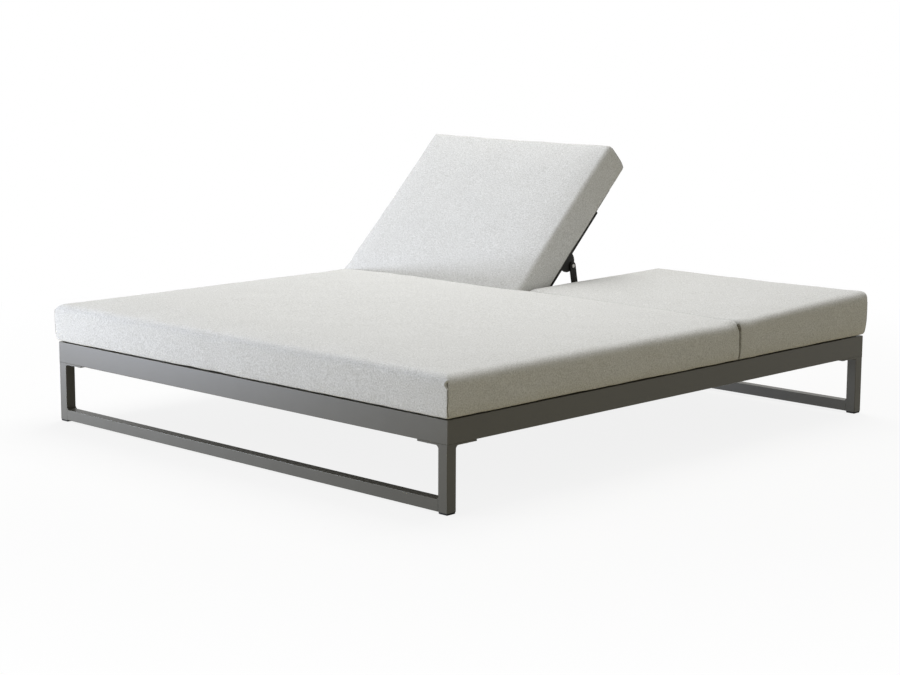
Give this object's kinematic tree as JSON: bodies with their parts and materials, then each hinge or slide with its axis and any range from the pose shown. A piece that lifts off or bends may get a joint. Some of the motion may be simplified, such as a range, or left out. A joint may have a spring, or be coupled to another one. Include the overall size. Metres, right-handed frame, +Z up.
{
  "type": "double chaise lounger",
  "caption": "Low double-width patio lounger with a slatted metal frame, thick loose cushions and separate reclining backs on notched props.",
  "frame": {"origin": "on the floor, at the middle of the box round the whole lounger", "axes": "+X across to the sitter's right seen from the foot end, +Y along to the head end, +Z up"},
  "size_m": [1.8096, 2.0195, 0.8648],
  "materials": {
    "frame_coat": "satin powder coat, warm taupe grey",
    "cushion_fabric": "woven outdoor cloth, light grey heather",
    "steel_hardware": "plain stainless",
    "glide_plastic": "moulded, matt"
  },
  "bodies": {
    "frame": {"side_rail_left": "frame_coat", "side_rail_right": "frame_coat", "foot_rail": "frame_coat", "head_rail": "frame_coat", "corner_plates": "frame_coat", "foot_leg_posts": "frame_coat", "foot_leg_bar": "frame_coat", "head_leg_posts": "frame_coat", "head_leg_bar": "frame_coat", "leg_welds": "frame_coat", "glides": "glide_plastic", "hinge_beam": "frame_coat", "centre_beams": "frame_coat", "slat_ledges": "frame_coat", "back_ledges": "frame_coat", "seat_slats_left": "frame_coat", "seat_slats_right": "frame_coat", "hinge_brackets": "frame_coat", "racks_left": "frame_coat", "racks_right": "frame_coat", "seat_cushion": "cushion_fabric"},
    "left_back": {"left_back_side_tubes": "frame_coat", "left_back_cross_tubes": "frame_coat", "left_back_slats": "frame_coat", "left_stay_bars": "frame_coat", "left_stay_lugs": "frame_coat", "left_hinge_pins": "steel_hardware"},
    "left_prop": {"left_prop_struts": "frame_coat", "left_prop_rod": "frame_coat", "left_prop_pins": "steel_hardware"},
    "left_cushion": {"left_back_cushion": "cushion_fabric"},
    "right_back": {"right_back_side_tubes": "frame_coat", "right_back_cross_tubes": "frame_coat", "right_back_slats": "frame_coat", "right_stay_bars": "frame_coat", "right_stay_lugs": "frame_coat", "right_hinge_pins": "steel_hardware"},
    "right_prop": {"right_prop_struts": "frame_coat", "right_prop_rod": "frame_coat", "right_prop_pins": "steel_hardware"},
    "right_cushion": {"right_back_cushion": "cushion_fabric"}
  },
  "joints": [
    {"name": "left_back_hinge", "type": "hinge", "parent": "frame", "child": "left_back", "pos_m": [0, 0.308, 0.2525], "axis": [1, 0, 0], "range_deg": [-45, 0]},
    {"name": "right_back_hinge", "type": "hinge", "parent": "frame", "child": "right_back", "pos_m": [0, 0.308, 0.2525], "axis": [1, 0, 0], "range_deg": [0, 45]},
    {"name": "left_cushion_fold", "type": "hinge", "parent": "frame", "child": "left_cushion", "pos_m": [0, 0.289, 0.2984], "axis": [1, 0, 0], "range_deg": [-45.1, 0]},
    {"name": "right_cushion_fold", "type": "hinge", "parent": "frame", "child": "right_cushion", "pos_m": [0, 0.289, 0.2984], "axis": [1, 0, 0], "range_deg": [0, 45.1], "deforming": ["right_back_cushion"]},
    {"name": "left_prop_fold", "type": "hinge", "parent": "left_back", "child": "left_prop", "pos_m": [0, 0.57592, 0.45268], "axis": [1, 0, 0], "range_deg": [0, 130.1]},
    {"name": "right_prop_fold", "type": "hinge", "parent": "right_back", "child": "right_prop", "pos_m": [0, 0.639, 0.2046], "axis": [1, 0, 0], "range_deg": [-130.1, 0]}
  ],
  "couplings": [
    {"joint": "left_cushion_fold", "follows": "left_back_hinge", "ratio": 1},
    {"joint": "right_cushion_fold", "follows": "right_back_hinge", "ratio": 1},
    {"joint": "left_prop_fold", "follows": "left_back_hinge", "ratio": -2.8888},
    {"joint": "right_prop_fold", "follows": "right_back_hinge", "ratio": -2.8888}
  ]
}
